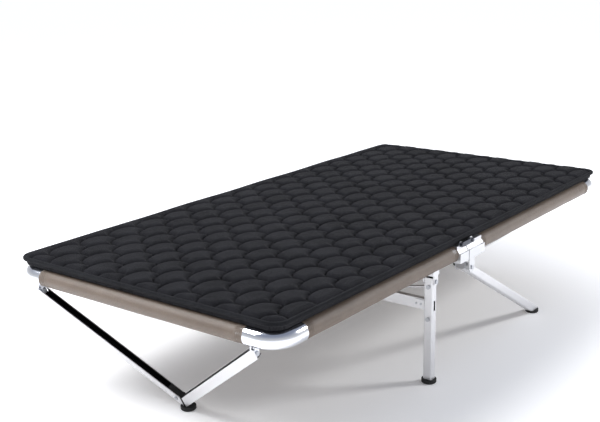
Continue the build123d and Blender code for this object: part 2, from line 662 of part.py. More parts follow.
def strut_clips():
    """The upright clips on the crossbar that hold the struts' lower ends."""
    shapes = []
    for side, strut in zip((RIGHT, LEFT), struts()):
        _, y, z = strut_ends(side)[1]
        base = CROSSBAR_MIDDLE + CROSSBAR_HEIGHT / 2
        half_x, half_y = CLIP_SIZE[0] / 2, CLIP_SIZE[1] / 2
        clip = box((CENTRE_X - half_x, CENTRE_X + half_x), (y - half_y, y + half_y), (base, z + CLIP_TOP))
        shapes.append(clip - strut)
    return shapes


def side_leg_axis():
    """The unit vector down the right side leg and the length of its axis to the foot's top."""
    drop = SIDE_PIVOT_HEIGHT - FOOT_THICKNESS
    reach = SIDE_FOOT_X - SIDE_LEG_X
    return Vector(reach, 0, -drop).normalized(), hypot(reach, drop)


def side_leg(side):
    """A splayed side leg: a rounded square tube, closed at the pivot and cut level at the foot."""
    direction, length = side_leg_axis()
    pivot = Vector(SIDE_LEG_X, -HALF_WIDTH, SIDE_PIVOT_HEIGHT)
    head = SIDE_LEG_TUBE / 2
    frame = Plane(origin=pivot - direction * head, x_dir=(0, 1, 0), z_dir=direction)
    outer = RectangleRounded(SIDE_LEG_TUBE, SIDE_LEG_TUBE, SIDE_LEG_ROUND)
    bore_size = SIDE_LEG_TUBE - 2 * SIDE_LEG_WALL
    bore = RectangleRounded(bore_size, bore_size, SIDE_LEG_ROUND - SIDE_LEG_WALL)
    body = extrude(frame * outer, length + head + SIDE_LEG_TUBE)
    hollow_start = Plane(origin=pivot + direction * head, x_dir=(0, 1, 0), z_dir=direction)
    body -= extrude(hollow_start * bore, length + SIDE_LEG_TUBE)
    body &= box((-FRAME_LENGTH, FRAME_LENGTH), (-FRAME_WIDTH, 0), (FOOT_THICKNESS, RAIL_HEIGHT))
    body -= across(pivot.X, (-FRAME_WIDTH, 0), pivot.Z, PIVOT_DIAMETER / 2 + PIVOT_CLEARANCE)
    return side_mirror(body, side)


def add(name, shape):
    """Keeps one node: a single solid or a list of separate ones."""
    solids = []
    for piece in shape if isinstance(shape, list) else [shape]:
        solids += piece.solids()
    parts[name] = solids[0] if len(solids) == 1 else Compound(children=solids)


for end in (NEAR, FAR):
    name = END_NAMES[end]
    for side in (RIGHT, LEFT):
        ends = side_rail(end, side)
        add(f"{name}_{SIDE_NAMES[side]}_rail", pipe(*ends, TUBE_DIAMETER, TUBE_BORE))
        add(f"{name}_{SIDE_NAMES[side]}_sleeve", pipe(*ends, SLEEVE_DIAMETER, TUBE_DIAMETER))
        add(f"{name}_{SIDE_NAMES[side]}_elbow", elbow(end, side))
        add(f"{name}_{SIDE_NAMES[side]}_hinge_block", hinge_block(end, side))
        add(f"{name}_v_{SIDE_NAMES[side]}_arm", v_arm(end, side))
    add(f"{name}_end_rail", pipe(*end_rail(end), TUBE_DIAMETER, TUBE_BORE))
    add(f"{name}_end_sleeve", pipe(*end_rail(end), SLEEVE_DIAMETER, TUBE_DIAMETER))
    add(f"{name}_deck", deck(end))
    add(f"{name}_pad", pad(end))
    add(f"{name}_hinge_pins", hinge_pins(end))
    add(f"{name}_v_pivot_pins", v_pins(end))
    add(f"{name}_v_foot_block", v_block(end))
    add(f"{name}_v_bolt", v_bolt(end))
    add(f"{name}_v_foot", foot(-end * v_foot_x(), 0))

for side in (RIGHT, LEFT):
    add(f"{SIDE_NAMES[side]}_hinge_link", hinge_link(side))
    add(f"centre_{SIDE_NAMES[side]}_leg", centre_leg(side))
    add(f"centre_{SIDE_NAMES[side]}_foot", foot(CENTRE_X, side * HALF_WIDTH))
    add(f"{SIDE_NAMES[side]}_side_leg", side_leg(side))
    add(f"{SIDE_NAMES[side]}_side_foot", foot(SIDE_FOOT_X, side * HALF_WIDTH))
add("centre_lugs", centre_lugs())
add("centre_pivot_pins", centre_pins())
add("centre_leg_bolts", leg_bolts())
add("centre_crossbar", crossbar())
add("crossbar_tabs", crossbar_tabs())
add("crossbar_rivets", crossbar_rivets())
add("corner_struts", struts())
add("strut_clips", strut_clips())
add("side_leg_pins", side_leg_pins())

os.makedirs("parts", exist_ok=True)
for name, shape in parts.items():
    export_step(shape, f"parts/{name}.step")
print(len(parts), "nodes")
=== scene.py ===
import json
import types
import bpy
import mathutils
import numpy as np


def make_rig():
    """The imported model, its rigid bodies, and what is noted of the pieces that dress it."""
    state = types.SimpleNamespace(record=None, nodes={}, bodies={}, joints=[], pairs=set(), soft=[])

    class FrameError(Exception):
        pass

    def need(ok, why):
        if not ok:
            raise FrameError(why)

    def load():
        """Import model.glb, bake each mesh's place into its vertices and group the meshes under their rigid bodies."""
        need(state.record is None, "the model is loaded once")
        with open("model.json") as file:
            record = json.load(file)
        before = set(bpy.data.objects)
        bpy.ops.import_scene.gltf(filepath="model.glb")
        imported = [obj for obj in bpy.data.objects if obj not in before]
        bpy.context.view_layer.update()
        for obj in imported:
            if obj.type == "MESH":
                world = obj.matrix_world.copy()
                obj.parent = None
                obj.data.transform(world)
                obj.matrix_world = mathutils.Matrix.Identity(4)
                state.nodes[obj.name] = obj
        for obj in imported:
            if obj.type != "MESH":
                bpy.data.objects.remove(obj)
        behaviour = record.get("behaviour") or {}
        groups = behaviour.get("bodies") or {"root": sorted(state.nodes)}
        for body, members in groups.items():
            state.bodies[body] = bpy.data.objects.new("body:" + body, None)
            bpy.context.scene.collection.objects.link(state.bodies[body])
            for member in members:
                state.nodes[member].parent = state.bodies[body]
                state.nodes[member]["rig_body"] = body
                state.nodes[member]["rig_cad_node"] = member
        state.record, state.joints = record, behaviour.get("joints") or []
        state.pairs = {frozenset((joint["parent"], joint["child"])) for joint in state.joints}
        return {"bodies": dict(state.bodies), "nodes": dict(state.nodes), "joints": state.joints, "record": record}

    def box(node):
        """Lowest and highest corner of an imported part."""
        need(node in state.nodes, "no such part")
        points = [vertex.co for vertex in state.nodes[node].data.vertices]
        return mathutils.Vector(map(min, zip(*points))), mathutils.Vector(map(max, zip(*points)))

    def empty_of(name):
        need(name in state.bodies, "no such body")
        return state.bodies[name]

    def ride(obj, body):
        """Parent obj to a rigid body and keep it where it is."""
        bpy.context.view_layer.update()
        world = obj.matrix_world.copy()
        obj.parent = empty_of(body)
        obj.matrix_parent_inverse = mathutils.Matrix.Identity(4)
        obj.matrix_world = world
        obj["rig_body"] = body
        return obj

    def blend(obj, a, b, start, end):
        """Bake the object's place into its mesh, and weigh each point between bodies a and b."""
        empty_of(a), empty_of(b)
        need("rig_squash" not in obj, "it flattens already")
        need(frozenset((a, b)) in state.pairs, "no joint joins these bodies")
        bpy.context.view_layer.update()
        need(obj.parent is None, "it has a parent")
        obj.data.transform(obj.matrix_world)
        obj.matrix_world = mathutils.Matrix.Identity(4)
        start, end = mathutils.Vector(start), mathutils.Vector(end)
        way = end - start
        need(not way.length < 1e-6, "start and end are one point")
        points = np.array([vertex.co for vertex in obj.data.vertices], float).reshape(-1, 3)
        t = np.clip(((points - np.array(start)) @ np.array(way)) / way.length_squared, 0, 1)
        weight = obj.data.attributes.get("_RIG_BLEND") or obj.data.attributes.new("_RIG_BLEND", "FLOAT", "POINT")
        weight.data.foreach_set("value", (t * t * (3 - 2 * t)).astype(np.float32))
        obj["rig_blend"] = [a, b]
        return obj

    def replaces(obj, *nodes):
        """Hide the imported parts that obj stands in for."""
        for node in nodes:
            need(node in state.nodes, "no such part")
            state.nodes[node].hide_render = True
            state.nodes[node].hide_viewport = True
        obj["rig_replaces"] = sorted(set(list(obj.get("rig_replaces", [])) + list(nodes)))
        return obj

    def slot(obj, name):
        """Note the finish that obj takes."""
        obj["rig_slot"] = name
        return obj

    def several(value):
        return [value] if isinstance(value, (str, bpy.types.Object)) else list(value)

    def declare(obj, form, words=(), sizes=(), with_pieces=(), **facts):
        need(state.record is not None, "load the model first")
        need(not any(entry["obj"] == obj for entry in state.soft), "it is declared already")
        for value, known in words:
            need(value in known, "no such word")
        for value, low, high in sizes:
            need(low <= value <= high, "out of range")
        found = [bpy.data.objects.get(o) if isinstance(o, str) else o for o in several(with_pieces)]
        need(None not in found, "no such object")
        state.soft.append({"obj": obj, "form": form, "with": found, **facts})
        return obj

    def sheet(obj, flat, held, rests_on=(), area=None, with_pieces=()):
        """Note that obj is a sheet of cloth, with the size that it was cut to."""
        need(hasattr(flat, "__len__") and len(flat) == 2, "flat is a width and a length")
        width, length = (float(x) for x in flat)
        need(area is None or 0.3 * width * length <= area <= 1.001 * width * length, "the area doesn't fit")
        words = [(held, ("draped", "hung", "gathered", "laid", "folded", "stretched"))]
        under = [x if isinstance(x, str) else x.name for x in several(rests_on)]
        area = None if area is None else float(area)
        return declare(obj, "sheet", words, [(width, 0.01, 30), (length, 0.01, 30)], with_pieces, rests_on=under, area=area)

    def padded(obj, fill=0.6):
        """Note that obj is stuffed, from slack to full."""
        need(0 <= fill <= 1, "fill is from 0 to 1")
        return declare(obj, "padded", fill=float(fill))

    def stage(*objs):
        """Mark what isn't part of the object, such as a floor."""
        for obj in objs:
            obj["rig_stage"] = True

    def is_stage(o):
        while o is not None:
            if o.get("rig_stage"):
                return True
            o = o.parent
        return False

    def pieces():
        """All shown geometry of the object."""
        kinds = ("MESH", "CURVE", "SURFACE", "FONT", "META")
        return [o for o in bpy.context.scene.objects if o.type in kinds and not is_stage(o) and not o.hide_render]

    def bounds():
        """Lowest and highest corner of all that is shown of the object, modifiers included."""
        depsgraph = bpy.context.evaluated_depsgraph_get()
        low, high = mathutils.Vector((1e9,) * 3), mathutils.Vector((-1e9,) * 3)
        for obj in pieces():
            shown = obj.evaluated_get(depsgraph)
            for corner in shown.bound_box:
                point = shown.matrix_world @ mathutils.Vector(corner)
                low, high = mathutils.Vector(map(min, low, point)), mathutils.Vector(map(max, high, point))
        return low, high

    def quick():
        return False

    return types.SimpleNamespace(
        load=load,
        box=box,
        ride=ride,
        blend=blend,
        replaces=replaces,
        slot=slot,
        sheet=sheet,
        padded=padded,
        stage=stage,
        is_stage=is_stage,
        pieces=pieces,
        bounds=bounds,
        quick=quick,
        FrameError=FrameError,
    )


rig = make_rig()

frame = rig.load()

import json
import logging
import math
from dataclasses import dataclass, field
from enum import Enum

import bmesh
import bpy
import numpy as np
from mathutils import Euler, Matrix, Vector, kdtree, noise

# Looks of a wide folding cot: quilted pad, fabric deck and rail sleeves, polished corners, satin legs.
# X runs along the bed (the near half is -X), Y across it, Z up. Metres.

LOG = logging.getLogger("folding_cot")
# The quilt's material paints shade along the seams from this nearness.
STITCH = "stitch"  # per-vertex nearness to a line of stitching, read by the quilt's material


class Half(Enum):
    """The two halves of the cot, by the sign of X."""

    NEAR = -1
    FAR = 1

    @property
    def label(self) -> str:
        """The half's name at the start of its nodes' names."""
        return self.name.lower()

    @property
    def bodies(self) -> tuple[str, str]:
        """The two bodies that cloth over the middle hinge follows, from -X to +X."""
        return ("near_half", "hinge_links") if self is Half.NEAR else ("hinge_links", "far_half")


class Side(Enum):
    """The long sides of the cot, by the sign of Y."""

    RIGHT = -1
    LEFT = 1

    @property
    def label(self) -> str:
        """The side's word in its nodes' names."""
        return self.name.lower()


# ---------------------------------------------------------------- shader helpers


def linear(code: str) -> tuple[float, float, float, float]:
    """Turns an sRGB hex colour into linear light.

    Args:
        code: The colour as six hex digits, with or without a hash.

    Returns:
        The linear red, green, blue and an alpha of 1.
    """
    code = code.lstrip("#")
    parts = [int(code[i : i + 2], 16) / 255 for i in (0, 2, 4)]
    lit = [c / 12.92 if c <= 0.04045 else ((c + 0.055) / 1.055) ** 2.4 for c in parts]
    return (lit[0], lit[1], lit[2], 1.0)


def add_node(tree: bpy.types.NodeTree, kind: str, settings: dict | None = None, links: dict | None = None):
    """Adds a shader node with its settings and links.

    Args:
        tree: The node tree that gets it.
        kind: The node's type name.
        settings: Values by input socket name, or by attribute name where no socket has that name.
        links: For an input socket's name or number, the output socket that feeds it.

    Returns:
        The new node.
    """
    node = tree.nodes.new(kind)
    for name, value in (settings or {}).items():
        if isinstance(name, int) or (name in node.inputs and not hasattr(node, name)):
            node.inputs[name].default_value = value
        else:
            setattr(node, name, value)
    for name, output in (links or {}).items():
        tree.links.new(output, node.inputs[name])
    return node


def new_material(name: str) -> tuple[bpy.types.Material, bpy.types.NodeTree, bpy.types.Node]:
    """Makes an empty node material.

    Args:
        name: The material's name.

    Returns:
        The material, its tree and its Principled shader.
    """
    material = bpy.data.materials.new(name)
    material.use_nodes = True
    tree = material.node_tree
    tree.nodes.clear()
    shader = add_node(tree, "ShaderNodeBsdfPrincipled")
    add_node(tree, "ShaderNodeOutputMaterial", links={"Surface": shader.outputs["BSDF"]})
    return material, tree, shader


@dataclass(frozen=True)
class WovenCloth:
    """Woven or brushed polyester: matte, with a soft sheen where it turns away and a fine thread pattern."""

    name: str
    colour: str
    worn: str
    thread: float
    depth: float
    roughness: float = 0.9
    sheen: float = 0.25
    sheen_tint: str = "#FFFFFF"
    blotch: float = 0.09
    shine: float = 0.12
    stitched: bool = False
    coordinates: str = "Object"

    def build(self) -> bpy.types.Material:
        """Makes the material: mottled colour with painted shade at the seams where asked, and threads and brushed pile
        as bump.
        """
        material, tree, shader = new_material(self.name)
        place = add_node(tree, "ShaderNodeTexCoord").outputs[self.coordinates]
        mottle = add_node(
            tree,
            "ShaderNodeTexNoise",
            {"Scale": 1 / self.blotch, "Detail": 6.0, "Roughness": 0.65},
            {"Vector": place},
        )
        fleck = add_node(
            tree, "ShaderNodeTexNoise", {"Scale": 0.5 / self.thread, "Detail": 3.0}, {"Vector": place}
        )
        amount = add_node(
            tree,
            "ShaderNodeMath",
            {"operation": "MULTIPLY"},
            {0: mottle.outputs["Fac"], 1: fleck.outputs["Fac"]},
        )
        ramp = add_node(tree, "ShaderNodeValToRGB", links={"Fac": amount.outputs[0]})
        ramp.color_ramp.elements[0].position = 0.12
        ramp.color_ramp.elements[0].color = linear(self.colour)
        ramp.color_ramp.elements[1].position = 0.42
        ramp.color_ramp.elements[1].color = linear(self.worn)
        colour = ramp.outputs["Color"]
        if self.stitched:
            # Painted shade: the colour darkens towards the stitched seams, where the creases would be in shade.
            near = add_node(tree, "ShaderNodeAttribute", {"attribute_name": STITCH})
            shade = add_node(
                tree,
                "ShaderNodeMapRange",
                {"From Min": 0.25, "From Max": 1.0, "To Min": 1.0, "To Max": 0.12},
                {"Value": near.outputs["Fac"]},
            )
            seam_shaded_colour = add_node(
                tree,
                "ShaderNodeVectorMath",
                {"operation": "SCALE"},
                {"Vector": colour, "Scale": shade.outputs["Result"]},
            )
            colour = seam_shaded_colour.outputs["Vector"]
        waves = []
        for direction in ("X", "Y"):
            waves.append(
                add_node(
                    tree,
                    "ShaderNodeTexWave",
                    {"bands_direction": direction, "Scale": 0.314 / self.thread, "Distortion": 1.2},
                    {"Vector": place},
                )
            )
        weave = add_node(
            tree,
            "ShaderNodeMath",
            {"operation": "ADD"},
            {0: waves[0].outputs["Fac"], 1: waves[1].outputs["Fac"]},
        )
        rough_weave = add_node(
            tree,
            "ShaderNodeMath",
            {"operation": "ADD"},
            {0: weave.outputs[0], 1: fleck.outputs["Fac"]},
        )
        bump = add_node(
            tree,
            "ShaderNodeBump",
            {"Strength": 0.55, "Distance": self.depth},
            {"Height": rough_weave.outputs[0]},
        )
        shader.inputs["Roughness"].default_value = self.roughness
        shader.inputs["Sheen Weight"].default_value = self.sheen
        shader.inputs["Sheen Roughness"].default_value = 0.45
        shader.inputs["Sheen Tint"].default_value = linear(self.sheen_tint)
        shader.inputs["Specular IOR Level"].default_value = self.shine
        tree.links.new(colour, shader.inputs["Base Color"])
        tree.links.new(bump.outputs["Normal"], shader.inputs["Normal"])
        return material


@dataclass(frozen=True)
class Metal:
    """Bare metal: the grain of its making shows as streaks in roughness and a very shallow bump."""

    name: str
    colour: str
    roughness: float
    spread: float
    grain: tuple[float, float, float]
    depth: float
    metallic: float = 1.0
    shaded: float = 0.0

    def build(self) -> bpy.types.Material:
        """Makes the material. grain is the length of a streak along X, Y and Z in metres.

        Where the shade reach is above 0, the colour in recesses narrower than that distance is painted near black:
        painted shade in channels and between parts.
        """
        material, tree, shader = new_material(self.name)
        place = add_node(tree, "ShaderNodeTexCoord").outputs["Object"]
        scale = tuple(1 / length for length in self.grain)
        stretched = add_node(tree, "ShaderNodeMapping", {"Scale": scale}, {"Vector": place})
        streaks = add_node(
            tree,
            "ShaderNodeTexNoise",
            {"Scale": 1.0, "Detail": 4.0, "Roughness": 0.6},
            {"Vector": stretched.outputs["Vector"]},
        )
        smear = add_node(tree, "ShaderNodeTexNoise", {"Scale": 14.0, "Detail": 3.0}, {"Vector": place})
        mixed = add_node(
            tree,
            "ShaderNodeMath",
            {"operation": "MULTIPLY"},
            {0: streaks.outputs["Fac"], 1: smear.outputs["Fac"]},
        )
        gloss = add_node(
            tree,
            "ShaderNodeMapRange",
            {"From Min": 0.1, "From Max": 0.45, "To Min": self.roughness, "To Max": self.roughness + self.spread},
            {"Value": mixed.outputs[0]},
        )
        bump = add_node(
            tree,
            "ShaderNodeBump",
            {"Strength": 0.4, "Distance": self.depth},
            {"Height": streaks.outputs["Fac"]},
        )
        shader.inputs["Base Color"].default_value = linear(self.colour)
        shader.inputs["Metallic"].default_value = self.metallic
        # Painted shade: ambient occlusion turns the base colour near black inside recesses and channels.
        if self.shaded > 0:
            painted_recess_shade = add_node(
                tree,
                "ShaderNodeAmbientOcclusion",
                {"samples": 12, "only_local": True, "Distance": self.shaded},
            )
            ramp = add_node(tree, "ShaderNodeValToRGB", links={"Fac": painted_recess_shade.outputs["AO"]})
            ramp.color_ramp.elements[0].position = 0.55
            ramp.color_ramp.elements[0].color = linear("#0C0C0D")
            ramp.color_ramp.elements[1].position = 0.8
            ramp.color_ramp.elements[1].color = linear(self.colour)
            tree.links.new(ramp.outputs["Color"], shader.inputs["Base Color"])
        tree.links.new(gloss.outputs["Result"], shader.inputs["Roughness"])
        tree.links.new(bump.outputs["Normal"], shader.inputs["Normal"])
        return material


@dataclass(frozen=True)
class MouldedRubber:
    """Moulded black rubber: matte, faintly pebbled, with paler scuffs."""

    name: str
    colour: str
    scuffed: str

    def build(self) -> bpy.types.Material:
        """Makes the material."""
        material, tree, shader = new_material(self.name)
        place = add_node(tree, "ShaderNodeTexCoord").outputs["Object"]
        scuff = add_node(tree, "ShaderNodeTexNoise", {"Scale": 90.0, "Detail": 5.0}, {"Vector": place})
        ramp = add_node(tree, "ShaderNodeValToRGB", links={"Fac": scuff.outputs["Fac"]})
        ramp.color_ramp.elements[0].position = 0.5
        ramp.color_ramp.elements[0].color = linear(self.colour)
        ramp.color_ramp.elements[1].position = 0.8
        ramp.color_ramp.elements[1].color = linear(self.scuffed)
        pebble = add_node(tree, "ShaderNodeTexVoronoi", {"Scale": 900.0}, {"Vector": place})
        bump = add_node(
            tree,
            "ShaderNodeBump",
            {"Strength": 0.3, "Distance": 0.0002},
            {"Height": pebble.outputs["Distance"]},
        )
        shader.inputs["Roughness"].default_value = 0.72
        tree.links.new(ramp.outputs["Color"], shader.inputs["Base Color"])
        tree.links.new(bump.outputs["Normal"], shader.inputs["Normal"])
        return material


class Finishes:
    """Every material of the cot, made once."""

    def __init__(self) -> None:
        """Builds each finish from its real make."""
        # Brushed microfibre over wadding: very dark, soft pile that catches light on its crowns, with painted shade
        # darkening the stitched seams.
        self.quilt = WovenCloth("black_microfibre", "#151518", "#29292D", 0.0012, 0.0005, sheen=0.05, shine=0.07, stitched=True).build()
        # The pad's sides and underside: near black, darker than the pad's own fabric, with hardly any shine: painted
        # shade under the binding.
        self.side_panel = WovenCloth("black_side_panel", "#020202", "#040404", 0.0012, 0.0002, sheen=0.0, shine=0.02).build()
        # Folded cotton tape, tighter and a little smoother than the microfibre.
        self.binding = WovenCloth("cotton_binding", "#17171A", "#26272A", 0.0016, 0.0004, sheen=0.05, shine=0.08).build()
        # Coated 600D polyester: a plain weave with a satin face. Thread drawn at 1.4 mm so that it shows.
        self.sleeve = WovenCloth(
            "taupe_polyester", "#5E5146", "#74665A", 0.0014, 0.0002, 0.4, 0.05, "#FFF4E8", shine=0.55, coordinates="UV"
        ).build()
        self.deck = WovenCloth("taupe_deck", "#5F554D", "#766B62", 0.0016, 0.0003, 0.8, 0.1).build()
        # Die-cast aluminium, buffed to a mirror with faint wheel marks.
        self.corner = Metal("buffed_casting", "#EDEFF4", 0.1, 0.12, (0.03, 0.03, 0.004), 0.00004).build()
        # Sand-tumbled casting for the hinge.
        self.casting = Metal("tumbled_casting", "#D2D3D6", 0.3, 0.2, (0.003, 0.003, 0.003), 0.00008).build()
        # Extruded and satin-anodised aluminium: drawn marks along the bar, almost white, with painted shade turning
        # its channels and recesses near black.
        self.leg = Metal(
            "satin_anodised", "#DFDFE1", 0.34, 0.18, (0.003, 0.003, 0.08), 0.00004, 0.8, shaded=0.03
        ).build()
        self.tube = Metal("drawn_tube", "#D8D9DC", 0.3, 0.2, (0.08, 0.08, 0.003), 0.00004).build()
        self.zinc = Metal("zinc_plate", "#B9BBC0", 0.28, 0.25, (0.004, 0.004, 0.004), 0.00005).build()
        self.dark_steel = Metal("black_oxide", "#4A4C54", 0.25, 0.2, (0.02, 0.004, 0.004), 0.00004).build()
        self.rubber = MouldedRubber("black_rubber", "#0E0E0F", "#2A2A2B").build()

    def for_slot(self, slot: str) -> bpy.types.Material:
        """The finish of a CAD material slot.

        Args:
            slot: The record's material slot.

        Returns:
            The material.
        """
        return {
            "quilted_pad": self.quilt,
            "rail_sleeve": self.sleeve,
            "deck_fabric": self.deck,
            "rail_tube": self.tube,
            "cast_corner": self.corner,
            "hinge_casting": self.casting,
            "leg_aluminium": self.leg,
            "hinge_steel": self.dark_steel,
            "fastener_steel": self.zinc,
            "rubber": self.rubber,
        }[slot]


# ---------------------------------------------------------------- mesh helpers


def link_mesh(name: str, mesh: bpy.types.Mesh, material: bpy.types.Material) -> bpy.types.Object:
    """Puts a mesh into the scene as an object with one material.

    Args:
        name: The object's name.
        mesh: Its mesh.
        material: Its material.

    Returns:
        The object.
    """
    piece = bpy.data.objects.new(name, mesh)
    bpy.context.scene.collection.objects.link(piece)
    piece.data.materials.clear()
    piece.data.materials.append(material)
    return piece


def make_active(piece: bpy.types.Object) -> None:
    """Selects one object alone and makes it active."""
    bpy.ops.object.select_all(action="DESELECT")
    piece.select_set(True)
    bpy.context.view_layer.objects.active = piece


def smooth_by_angle(piece: bpy.types.Object, degrees: float) -> None:
    """Shades an object smooth, with sharp edges above an angle."""
    make_active(piece)
    bpy.ops.object.shade_smooth_by_angle(angle=math.radians(degrees))


def grid_mesh(name: str, points: np.ndarray, closed: bool = False, uv_scale: tuple | None = None):
    """Makes a quad mesh from a grid of points.

    Args:
        name: The mesh's name.
        points: The points, as rows by columns by 3.
        closed: Whether the last column joins the first.
        uv_scale: Where given, the length of a step along the rows and along the columns, for a UV map.

    Returns:
        The mesh.
    """
    rows, columns = points.shape[:2]
    spans = columns if closed else columns - 1
    faces, uvs = [], []
    for i in range(rows - 1):
        for j in range(spans):
            k = (j + 1) % columns
            faces.append((i * columns + j, (i + 1) * columns + j, (i + 1) * columns + k, i * columns + k))
            if uv_scale:
                low, high = (i * uv_scale[0], (i + 1) * uv_scale[0])
                left, right = (j * uv_scale[1], (j + 1) * uv_scale[1])
                uvs += [(low, left), (high, left), (high, right), (low, right)]
    mesh = bpy.data.meshes.new(name)
    mesh.from_pydata(points.reshape(-1, 3).tolist(), [], faces)
    if uv_scale:
        layer = mesh.uv_layers.new(name="cloth")
        layer.data.foreach_set("uv", np.array(uvs, float).ravel())
    return mesh


def half_of(source: bmesh.types.BMesh, half: Half, split: float) -> bmesh.types.BMesh:
    """Cuts a copy of a mesh at the plane x = split and keeps one half.

    Args:
        source: The whole mesh.
        half: The half to keep.
        split: The X of the cut.

    Returns:
        The kept half.
    """
    kept = source.copy()
    bmesh.ops.bisect_plane(
        kept,
        geom=kept.verts[:] + kept.edges[:] + kept.faces[:],
        dist=1e-6,
        plane_co=(split, 0, 0),
        plane_no=(1, 0, 0),
        clear_outer=half is Half.NEAR,
        clear_inner=half is Half.FAR,
    )
    return kept


def join_shading(pieces: list[bpy.types.Object], split: float) -> None:
    """Gives two pieces that meet at x = split the same normals along the meeting line.

    Args:
        pieces: The two pieces.
        split: The X where they meet.
    """
    sums: dict[tuple, Vector] = {}

    def key(co: Vector) -> tuple:
        return (round(co.y * 5000), round(co.z * 5000))

    for piece in pieces:
        for polygon in piece.data.polygons:
            if abs(polygon.normal.x) > 0.95:
                continue
            for index in polygon.vertices:
                co = piece.data.vertices[index].co
                if abs(co.x - split) < 1e-5:
                    sums.setdefault(key(co), Vector())
                    sums[key(co)] += polygon.normal * polygon.area
    for piece in pieces:
        mesh = piece.data
        normals = [Vector(corner.vector) for corner in mesh.corner_normals]
        for polygon in mesh.polygons:
            if abs(polygon.normal.x) > 0.95:
                continue
            for corner in polygon.loop_indices:
                co = mesh.vertices[mesh.loops[corner].vertex_index].co
                if abs(co.x - split) < 1e-5 and key(co) in sums:
                    normals[corner] = sums[key(co)].normalized()
        mesh.normals_split_custom_set([tuple(normal) for normal in normals])


def cross_hinge(piece: bpy.types.Object, half: Half, split: float, reach: float) -> None:
    """Lets a piece of one half bend over the middle hinge.

    Args:
        piece: The piece, which ends at x = split.
        half: Its half.
        split: The X of the hinge's middle.
        reach: How far from the middle the bend starts.
    """
    ends = (split - reach, split) if half is Half.NEAR else (split, split + reach)
    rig.blend(piece, *half.bodies, start=(ends[0], 0, 0), end=(ends[1], 0, 0))


# ---------------------------------------------------------------- quilted pad


